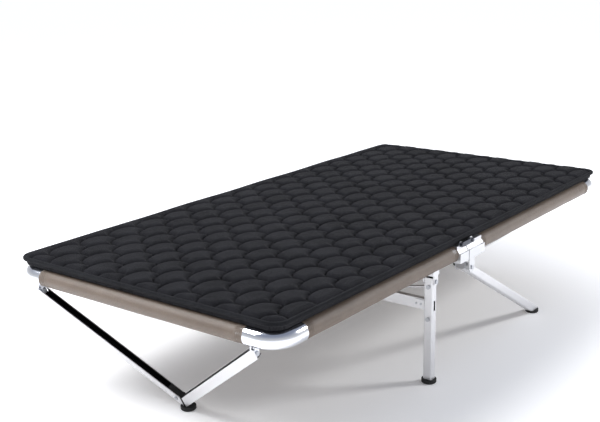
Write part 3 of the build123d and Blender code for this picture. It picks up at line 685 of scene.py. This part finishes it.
@dataclass
class QuiltedPad:
    """The pad: a quilted top in scale-shaped cells, a flat underside and a bound edge."""

    finishes: Finishes
    split: float
    pitch: float = 0.113
    row: float = 0.069
    grid: float = 0.0045
    puff: float = 0.0125
    shoulder: float = 0.02
    seam_height: float = 0.0053
    corner: float = 0.045
    stitch_reach: float = 0.0035
    wander: float = 0.005
    bend_reach: float = 0.025
    quilt_depth: float = 0.0175
    rim: float = 0.005
    depth: float = 0.0298
    low: Vector = field(init=False)
    high: Vector = field(init=False)

    def __post_init__(self) -> None:
        """Reads the pad's room from its CAD solids."""
        near_low, near_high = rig.box("near_pad")
        far_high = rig.box("far_pad")[1]
        self.low = Vector((near_low.x, near_low.y, near_low.z))
        self.high = Vector((far_high.x, near_high.y, near_high.z))
        self.edge_bottom = self.high.z - self.quilt_depth
        self.floor = self.high.z - self.depth

    def warp(self, x: float, y: float) -> tuple[float, float]:
        """Shifts a point of the stitching pattern the way a hand-fed quilting machine wanders."""
        shift = noise.noise_vector(Vector((x * 6.0, y * 6.0, 3.7)))
        return x + shift.x * self.wander, y + shift.y * self.wander

    def seam_points(self) -> list[tuple[float, float]]:
        """Points along every stitched arch, a fraction of a millimetre apart where they matter."""
        points = []
        rows = int((self.high.y - self.low.y) / self.row) + 3
        columns = int((self.high.x - self.low.x) / self.pitch) + 3
        steps = 84
        for j in range(-1, rows):
            base = self.low.y + j * self.row
            offset = self.pitch / 2 if j % 2 else 0.0
            for k in range(-1, columns):
                middle = self.low.x + k * self.pitch + offset
                for step in range(steps):
                    angle = math.pi * (step + 0.5) / steps
                    x = middle - math.cos(angle) * self.pitch / 2
                    y = base + math.sin(angle) ** 0.55 * self.row
                    points.append(self.warp(x, y))
        return points

    def seam_tree(self) -> kdtree.KDTree:
        """The stitched arches as a search tree."""
        points = self.seam_points()
        tree = kdtree.KDTree(len(points))
        for index, (x, y) in enumerate(points):
            tree.insert((x, y, 0), index)
        tree.balance()
        return tree

    def inside(self, x: float, y: float, inset: float) -> tuple[float, float, float]:
        """Pulls a point into the rounded outline.

        Args:
            x: The point's X.
            y: The point's Y.
            inset: How far inside the pad's outline it has to be.

        Returns:
            The point, and its distance inside the limit (negative if it was outside).
        """
        radius = self.corner - inset
        cx, cy = (self.low.x + self.high.x) / 2, (self.low.y + self.high.y) / 2
        hx, hy = self.high.x - inset - cx, self.high.y - inset - cy
        dx, dy = x - cx, y - cy
        ox, oy = abs(dx) - (hx - radius), abs(dy) - (hy - radius)
        if ox > 0 and oy > 0:
            gap = radius - math.hypot(ox, oy)
            if gap < 0:
                share = radius / math.hypot(ox, oy)
                dx = math.copysign(hx - radius + ox * share, dx)
                dy = math.copysign(hy - radius + oy * share, dy)
            return cx + dx, cy + dy, gap
        return x, y, min(hx - abs(dx), hy - abs(dy))

    def edge_wave(self, x: float, y: float) -> float:
        """The gentle rise and fall of the pad's edge."""
        return 0.0016 * noise.noise(Vector((x * 5.5, y * 5.5, 9.1)))

    def top_sheet(self) -> tuple[bmesh.types.BMesh, list[float]]:
        """The quilted top before it is filled.

        Returns:
            The sheet, and each vertex's pin weight: 1 on a seam or at the edge.
        """
        inset = self.rim
        tree = self.seam_tree()
        nx = round((self.high.x - self.low.x - 2 * inset) / self.grid)
        ny = round((self.high.y - self.low.y - 2 * inset) / self.grid)
        sheet = bmesh.new()
        stitch = sheet.verts.layers.float.new(STITCH)
        ids: dict[tuple[int, int], bmesh.types.BMVert] = {}
        outside, pins = set(), []
        for i in range(nx + 1):
            for j in range(ny + 1):
                x = self.low.x + inset + (self.high.x - self.low.x - 2 * inset) * i / nx
                y = self.low.y + inset + (self.high.y - self.low.y - 2 * inset) * j / ny
                x, y, gap = self.inside(x, y, inset)
                if gap < -self.grid * 0.75:
                    continue
                if gap < -1e-6:
                    outside.add((i, j))
                seam, _, distance = tree.find((x, y, 0))
                on_edge = gap < self.grid * 0.5
                if distance < self.grid * 0.5 and not on_edge:
                    x, y, distance = seam.x, seam.y, 0.0
                rise = min(1.0, distance / self.shoulder)
                bulge = math.sin(rise * math.pi / 2) ** 0.55
                edge = min(1.0, max(0.0, gap) / 0.018)
                z = self.edge_bottom + self.seam_height + self.puff * bulge * edge**0.6
                z += self.edge_wave(x, y)
                ids[i, j] = sheet.verts.new((x, y, z))
                ids[i, j][stitch] = math.exp(-distance / self.stitch_reach)
                pins.append(1.0 if distance == 0.0 or on_edge else 0.0)
        for i in range(nx):
            for j in range(ny):
                corners = [(i, j), (i + 1, j), (i + 1, j + 1), (i, j + 1)]
                if all(c in ids for c in corners) and sum(c in outside for c in corners) < 3:
                    sheet.faces.new([ids[c] for c in corners])
        sheet.verts.index_update()
        return sheet, pins

    def fill(self, sheet: bmesh.types.BMesh, pins: list[float]) -> bmesh.types.BMesh:
        """Blows the cells up between their pinned seams, as wadding does, and limits how far they go.

        Args:
            sheet: The quilted top.
            pins: Each vertex's pin weight.

        Returns:
            The filled top.
        """
        mesh = bpy.data.meshes.new("quilt_sim")
        sheet.to_mesh(mesh)
        start = np.array([v.co for v in mesh.vertices])
        piece = link_mesh("quilt_sim", mesh, self.finishes.quilt)
        group = piece.vertex_groups.new(name="stitches")
        group.add([i for i, pin in enumerate(pins) if pin > 0.5], 1.0, "REPLACE")
        make_active(piece)
        cloth = piece.modifiers.new("cloth", "CLOTH")
        settings = cloth.settings
        settings.quality = 4
        settings.mass = 0.2
        settings.tension_stiffness = 12
        settings.compression_stiffness = 12
        settings.shear_stiffness = 4
        settings.bending_stiffness = 0.02
        settings.use_pressure = True
        settings.uniform_pressure_force = 1.2
        settings.shrink_min = -0.04
        settings.vertex_group_mass = "stitches"
        settings.effector_weights.gravity = 0
        cloth.collision_settings.use_collision = False
        scene = bpy.context.scene
        for step in range(1, 15):
            scene.frame_set(step)
        bpy.ops.object.modifier_apply(modifier="cloth")
        scene.frame_set(1)
        moved = np.array([v.co for v in piece.data.vertices])
        shift = moved - start
        length = np.linalg.norm(shift, axis=1)
        cap = 0.0028
        shift *= np.minimum(1.0, cap / np.maximum(length, 1e-9))[:, None]
        final = start + shift
        final[:, 2] = np.clip(final[:, 2], self.edge_bottom + 0.004, self.high.z + 0.002)
        piece.data.vertices.foreach_set("co", final.ravel())
        filled = bmesh.new()
        filled.from_mesh(piece.data)
        bpy.data.objects.remove(piece)
        return filled

    def close_below(self, body: bmesh.types.BMesh) -> None:
        """Adds the sides and an underside that sinks between the rails.

        Args:
            body: The quilted top, which becomes a closed pad.
        """
        middle = (self.low + self.high) / 2
        reach = self.high - middle
        inset_before = self.rim
        rings = (
            (self.rim, self.edge_bottom + 0.001),
            (0.0075, self.edge_bottom - 0.0005),
            (0.0085, self.floor + 0.0015),
            (0.0105, self.floor),
            (0.024, self.floor),
            (0.036, self.floor),
            (0.052, self.floor - 0.0128),
        )
        for inset, height in rings:
            edges = [edge for edge in body.edges if edge.is_boundary]
            walls = bmesh.ops.extrude_edge_only(body, edges=edges)
            # The sides and underside take the second material, painted near-black shade.
            for face in (item for item in walls["geom"] if isinstance(item, bmesh.types.BMFace)):
                face.material_index = 1
            ring = [item for item in walls["geom"] if isinstance(item, bmesh.types.BMVert)]
            for vert in ring:
                for axis in (0, 1):
                    share = (reach[axis] - inset) / (reach[axis] - inset_before)
                    vert.co[axis] = middle[axis] + (vert.co[axis] - middle[axis]) * share
                vert.co.z = height
            inset_before = inset
        closing = bmesh.ops.contextual_create(body, geom=[edge for edge in body.edges if edge.is_boundary])
        for face in closing["faces"]:
            face.material_index = 1
        for step in (-0.075, -0.05, -0.025, -0.0125, 0.0125, 0.025, 0.05, 0.075):
            bmesh.ops.bisect_plane(
                body,
                geom=body.verts[:] + body.edges[:] + body.faces[:],
                dist=1e-6,
                plane_co=(self.split + step, 0, 0),
                plane_no=(1, 0, 0),
            )
        bmesh.ops.recalc_face_normals(body, faces=body.faces[:])

    def binding_mesh(self) -> bmesh.types.BMesh:
        """The folded tape around the edge, as one closed ring with a soft C section and stitch dimples."""
        step = 0.007
        inset = 0.0055
        cx, cy = (self.low.x + self.high.x) / 2, (self.low.y + self.high.y) / 2
        hx, hy = self.high.x - inset - cx, self.high.y - inset - cy
        radius = self.corner - inset
        path: list[tuple[Vector, Vector]] = []
        straights = [
            (Vector((hx - radius, -hy, 0)), Vector((1, 0, 0)), 2 * (hx - radius)),
            (Vector((hx, hy - radius, 0)), Vector((0, 1, 0)), 2 * (hy - radius)),
            (Vector((-hx + radius, hy, 0)), Vector((-1, 0, 0)), 2 * (hx - radius)),
            (Vector((-hx, -hy + radius, 0)), Vector((0, -1, 0)), 2 * (hy - radius)),
        ]
        for finish, along, length in straights:
            out = Vector((along.y, -along.x, 0))
            count = round(length / step)
            for i in range(count):
                path.append((finish - along * (length * (1 - i / count)), out))
            centre = finish - out * radius
            turns = 14
            for i in range(turns):
                angle = math.pi / 2 * i / turns
                turned = out * math.cos(angle) + along * math.sin(angle)
                path.append((centre + turned * radius, turned))
        sections = 12
        rows = []
        middle = self.edge_bottom + 0.0062
        for index, (point, out) in enumerate(path):
            x, y = cx + point.x, cy + point.y
            lift = middle + self.edge_wave(x, y)
            pinch = 1.0 - 0.06 * (index % 2)
            row = []
            for s in range(sections):
                angle = 2 * math.pi * s / sections
                across = math.copysign(abs(math.cos(angle)) ** 0.75, math.cos(angle)) * 0.0062
                up = math.copysign(abs(math.sin(angle)) ** 0.8, math.sin(angle)) * 0.0058 * pinch
                row.append((x + out.x * across, y + out.y * across, lift + up))
            rows.append(row)
        rows.append(rows[0])
        mesh = grid_mesh("binding", np.array(rows), closed=True)
        ring = bmesh.new()
        ring.from_mesh(mesh)
        bmesh.ops.remove_doubles(ring, verts=ring.verts[:], dist=1e-6)
        bmesh.ops.recalc_face_normals(ring, faces=ring.faces[:])
        return ring

    def halves(self, whole: bmesh.types.BMesh, name: str, material: bpy.types.Material, angle: float) -> list:
        """Cuts a whole piece at the hinge's middle into two closed halves.

        Args:
            whole: The whole piece's mesh.
            name: The halves' name after the half's own word.
            material: Their material.
            angle: The angle above which an edge is sharp.

        Returns:
            The two objects.
        """
        pieces = []
        for half in Half:
            cut = half_of(whole, half, self.split)
            edges = [edge for edge in cut.edges if edge.is_boundary]
            bmesh.ops.holes_fill(cut, edges=edges, sides=0)
            mesh = bpy.data.meshes.new(f"{half.label}_{name}")
            cut.to_mesh(mesh)
            piece = link_mesh(f"{half.label}_{name}", mesh, material)
            smooth_by_angle(piece, angle)
            pieces.append(piece)
        join_shading(pieces, self.split)
        return pieces

    def build(self) -> None:
        """Makes the pad's two halves and the binding's two halves, and lets them bend over the hinge."""
        sheet, pins = self.top_sheet()
        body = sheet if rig.quick() else self.fill(sheet, pins)
        self.close_below(body)
        pads = self.halves(body, "quilted_pad", self.finishes.quilt, 70)
        tapes = self.halves(self.binding_mesh(), "pad_binding", self.finishes.binding, 80)
        for half, pad, tape in zip(Half, pads, tapes):
            # The second material paints the sides and underside near black as shade.
            pad.data.materials.append(self.finishes.side_panel)
            cross_hinge(pad, half, self.split, self.bend_reach)
            cross_hinge(tape, half, self.split, self.bend_reach)
            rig.replaces(pad, f"{half.label}_pad")
            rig.padded(pad, fill=0.45)
            for piece in (pad, tape):
                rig.slot(piece, "quilted_pad")
            LOG.info("%s pad: %d faces", half.label, len(pad.data.polygons))


# ---------------------------------------------------------------- deck and sleeves


@dataclass
class FabricDeck:
    """The deck between the rails and the sleeves around them, all of one coated polyester."""

    finishes: Finishes
    split: float
    ring: float = 0.006
    hem: float = 0.027
    hem_rings: int = 18
    stitches: tuple[float, ...] = (0.0075, 0.0135, 0.0195)
    around: int = 40
    wrinkle: float = 0.0006

    def sleeve(self, node: str) -> bpy.types.Object:
        """A sleeve drawn tight over a rail, with a stitched hem and small gathers at each end.

        Args:
            node: The CAD node that it stands for.

        Returns:
            The sleeve.
        """
        low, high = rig.box(node)
        size = high - low
        axis = 0 if size.x > size.y else 1
        length = size[axis]
        radius = (size.z) / 2
        middle = (low + high) / 2
        count = max(2, round((length - 2 * self.hem) / self.ring))
        middle_rings = [self.hem + (length - 2 * self.hem) * i / count for i in range(1, count)]
        end_rings = [self.hem * i / self.hem_rings for i in range(self.hem_rings + 1)]
        stations = end_rings + middle_rings + [length - along for along in reversed(end_rings)]
        rows = []
        for along in stations:
            edge = min(along, length - along)
            hem = 0.0005 * (edge < 0.003)
            for stitch in self.stitches:
                hem -= 0.0011 * math.exp(-(((edge - stitch) / 0.0012) ** 2))
            row = []
            for j in range(self.around):
                angle = 2 * math.pi * j / self.around
                place = Vector((along * 9, math.cos(angle) * 0.9, math.sin(angle) * 0.9 + low[1 - axis] * 7))
                fold = noise.noise(place) * self.wrinkle
                gather = noise.noise(Vector((along * 40, math.cos(angle) * 6, math.sin(angle) * 6)))
                fold += gather * 0.0009 * math.exp(-edge / 0.03)
                r = radius - 0.0002 + hem + fold
                point = [0.0, 0.0, middle.z + math.sin(angle) * r]
                point[axis] = low[axis] + along
                point[1 - axis] = middle[1 - axis] + math.cos(angle) * r
                row.append(point)
            rows.append(row)
        step = (length / (len(stations) - 1), 2 * math.pi * radius / self.around)
        mesh = grid_mesh(f"{node}_cloth", np.array(rows), closed=True, uv_scale=step)
        body = bmesh.new()
        body.from_mesh(mesh)
        bmesh.ops.recalc_face_normals(body, faces=body.faces[:])
        body.to_mesh(mesh)
        piece = link_mesh(f"{node}_cloth", mesh, self.finishes.sleeve)
        solid = piece.modifiers.new("cloth_thickness", "SOLIDIFY")
        solid.thickness = 0.0011
        solid.offset = -1
        make_active(piece)
        bpy.ops.object.modifier_apply(modifier="cloth_thickness")
        smooth_by_angle(piece, 60)
        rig.replaces(piece, node)
        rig.slot(piece, "rail_sleeve")
        return piece

    def deck(self, half: Half) -> bpy.types.Object:
        """One half of the deck, sunk a little with faint noise and cut back around the corner elbows and the hinge
        blocks.
        """
        low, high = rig.box(f"{half.label}_deck")
        if half is Half.NEAR:
            high.x = self.split
        else:
            low.x = self.split
        z = (low.z + high.z) / 2
        nx, ny = round((high.x - low.x) / 0.012), round((high.y - low.y) / 0.012)
        elbow_reach = abs(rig.box(f"{half.label}_right_elbow")[0 if half is Half.FAR else 1].x)
        block_low, block_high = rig.box(f"{half.label}_right_hinge_block")
        block_inner = abs(block_high.y)
        rows = []
        for i in range(nx + 1):
            x = low.x + (high.x - low.x) * i / nx
            row = []
            for j in range(ny + 1):
                y = low.y + (high.y - low.y) * j / ny
                limit = high.y
                if abs(x) > abs(elbow_reach) - 0.012:
                    limit = high.y - 0.066
                if block_low.x - 0.006 < x < block_high.x + 0.006:
                    limit = block_inner - 0.003
                y = max(-limit, min(limit, y))
                dip = -0.0006 - 0.0004 * noise.noise(Vector((x * 5, y * 5, 1.0)))
                row.append((x, y, z + dip))
            rows.append(row)
        mesh = grid_mesh(f"{half.label}_deck_cloth", np.array(rows))
        body = bmesh.new()
        body.from_mesh(mesh)
        bmesh.ops.dissolve_degenerate(body, dist=1e-5, edges=body.edges[:])
        bmesh.ops.remove_doubles(body, verts=body.verts[:], dist=1e-5)
        body.to_mesh(mesh)
        piece = link_mesh(f"{half.label}_deck_cloth", mesh, self.finishes.deck)
        solid = piece.modifiers.new("cloth_thickness", "SOLIDIFY")
        solid.thickness = 0.0009
        make_active(piece)
        bpy.ops.object.modifier_apply(modifier="cloth_thickness")
        smooth_by_angle(piece, 50)
        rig.replaces(piece, f"{half.label}_deck")
        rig.slot(piece, "deck_fabric")
        cross_hinge(piece, half, self.split, 0.025)
        return piece

    def build(self) -> None:
        """Makes the sleeves and the deck of both halves."""
        for half in Half:
            nodes = [f"{half.label}_{place}_sleeve" for place in ("right", "left", "end")]
            sleeves = [self.sleeve(node) for node in nodes]
            for piece in sleeves:
                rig.ride(piece, f"{half.label}_half")
            deck = self.deck(half)
            area = sum(polygon.area for polygon in deck.data.polygons) / 2
            low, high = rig.bounds_of(deck) if hasattr(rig, "bounds_of") else extent(deck)
            size = high - low
            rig.sheet(
                deck,
                flat=(size.y, size.x),
                held="stretched",
                rests_on=[f"{half.label}_{place}_rail" for place in ("right", "left", "end")],
                area=min(area, size.x * size.y),
                with_pieces=sleeves,
            )
            LOG.info("%s deck: %.3f square metres", half.label, area)


def extent(piece: bpy.types.Object) -> tuple[Vector, Vector]:
    """The lowest and highest corner of a mesh object."""
    points = np.array([v.co for v in piece.data.vertices])
    return Vector(points.min(0)), Vector(points.max(0))


# ---------------------------------------------------------------- stage


@dataclass
class Studio:
    """A pale floor, soft light and the camera."""

    camera_place: Vector = field(default_factory=lambda: Vector((-2.6165, -1.8135, 1.2542)))
    yaw: float = 52.537
    pitch: float = 15.075
    roll: float = -1.022
    lens: float = 60.5

    def floor(self) -> None:
        """A wide matte floor, almost white, that glows faintly under the cot and strongly further out: painted light,
        with painted shade under the cot.
        """
        bpy.ops.object.select_all(action="DESELECT")
        bpy.ops.mesh.primitive_plane_add(size=60, location=(0, 0, 0))
        floor = bpy.context.active_object
        floor.name = "studio_floor"
        material, tree, shader = new_material("studio_paper")
        shader.inputs["Base Color"].default_value = linear("#FAFAFA")
        shader.inputs["Roughness"].default_value = 0.75
        # Painted light: the floor's emission grows with distance from the middle, so shade keeps under the cot while
        # the surroundings go white.
        shader.inputs["Emission Color"].default_value = linear("#FFFFFF")
        place = add_node(tree, "ShaderNodeTexCoord").outputs["Object"]
        distance = add_node(tree, "ShaderNodeVectorMath", {"operation": "LENGTH"}, {"Vector": place})
        painted_glow = add_node(
            tree,
            "ShaderNodeMapRange",
            {"interpolation_type": "SMOOTHSTEP", "From Min": 0.6, "From Max": 1.65, "To Min": 0.14, "To Max": 0.66},
            {"Value": distance.outputs["Value"]},
        )
        tree.links.new(painted_glow.outputs["Result"], shader.inputs["Emission Strength"])
        floor.data.materials.append(material)
        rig.stage(floor)

    def light(self, name: str, energy: float, size: float, place: tuple, target: tuple, colour: str) -> None:
        """Adds one square soft light.

        Args:
            name: The light's name.
            energy: Its power in watts.
            size: The length of its side.
            place: Where it hangs.
            target: What it points at.
            colour: Its colour as hex.
        """
        lamp = bpy.data.lights.new(name, "AREA")
        lamp.energy = energy
        lamp.size = size
        lamp.color = linear(colour)[:3]
        holder = bpy.data.objects.new(name, lamp)
        bpy.context.scene.collection.objects.link(holder)
        holder.location = place
        holder.rotation_euler = (Vector(target) - Vector(place)).to_track_quat("-Z", "Y").to_euler()

    def world(self) -> None:
        """An even white room, with a slightly blue ceiling for the polished corners to reflect."""
        world = bpy.data.worlds.new("studio")
        bpy.context.scene.world = world
        world.use_nodes = True
        tree = world.node_tree
        tree.nodes.clear()
        place = add_node(tree, "ShaderNodeTexCoord").outputs["Generated"]
        split = add_node(tree, "ShaderNodeSeparateXYZ", links={"Vector": place})
        ramp = add_node(tree, "ShaderNodeValToRGB", links={"Fac": split.outputs["Z"]})
        ramp.color_ramp.elements[0].position = 0.02
        ramp.color_ramp.elements[0].color = linear("#FFFFFF")
        ramp.color_ramp.elements[1].position = 0.75
        ramp.color_ramp.elements[1].color = linear("#878E9F")
        wall = ramp.color_ramp.elements.new(0.14)
        wall.color = linear("#CFD0D3")
        back = add_node(
            tree, "ShaderNodeBackground", {"Strength": 1.0}, {"Color": ramp.outputs["Color"]}
        )
        add_node(tree, "ShaderNodeOutputWorld", links={"Surface": back.outputs["Background"]})

    def camera(self) -> None:
        """The camera: yaw from +Y towards +X, pitch below the horizon, and a small roll."""
        lens = bpy.data.cameras.new("camera")
        lens.lens = self.lens
        lens.sensor_width = 36
        lens.clip_end = 100
        holder = bpy.data.objects.new("camera", lens)
        bpy.context.scene.collection.objects.link(holder)
        yaw, pitch, roll = (math.radians(a) for a in (self.yaw, self.pitch, self.roll))
        forward = Vector((math.sin(yaw) * math.cos(pitch), math.cos(yaw) * math.cos(pitch), -math.sin(pitch)))
        right = Vector((math.cos(yaw), -math.sin(yaw), 0))
        up = right.cross(forward)
        turned = right * math.cos(roll) + up * math.sin(roll)
        upright = -right * math.sin(roll) + up * math.cos(roll)
        basis = Matrix((turned, upright, -forward)).transposed().to_4x4()
        holder.matrix_world = Matrix.Translation(self.camera_place) @ basis
        bpy.context.scene.camera = holder

    def build(self) -> None:
        """Sets the whole stage."""
        bpy.context.scene.view_settings.view_transform = "Standard"
        self.floor()
        self.world()
        self.light("key", 150, 1.8, (-2.1, 1.7, 3.2), (0, 0, 0.3), "#FFFFFF")
        self.light("edge", 60, 0.7, (2.1, -2.6, 2.3), (0, 0, 0.3), "#FFFFFF")
        self.camera()


# ---------------------------------------------------------------- whole cot


def dress_nodes(finishes: Finishes) -> None:
    """Gives every CAD node the finish of its material slot.

    Args:
        finishes: The cot's materials.
    """
    slots = {row["node"]: row["material_slot"] for row in frame["record"]["subparts"]}
    for name, node in frame["nodes"].items():
        material = finishes.for_slot(slots[name])
        if not node.material_slots:
            node.data.materials.append(material)
        for place in node.material_slots:
            place.material = material


def main() -> None:
    """Builds the looks of the cot in order."""
    logging.basicConfig(level=logging.INFO, format="%(name)s: %(message)s")
    cad_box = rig.bounds()
    split = (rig.box("near_hinge_pins")[0].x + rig.box("far_hinge_pins")[1].x) / 2
    Studio().build()
    finishes = Finishes()
    dress_nodes(finishes)
    FabricDeck(finishes, split).build()
    QuiltedPad(finishes, split).build()
    made_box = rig.bounds()
    sizes = {"cad": [list(corner) for corner in cad_box], "visual": [list(corner) for corner in made_box]}
    with open("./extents.json", "w", encoding="utf-8") as out:
        json.dump(sizes, out)


if __name__ == "__main__":
    main()
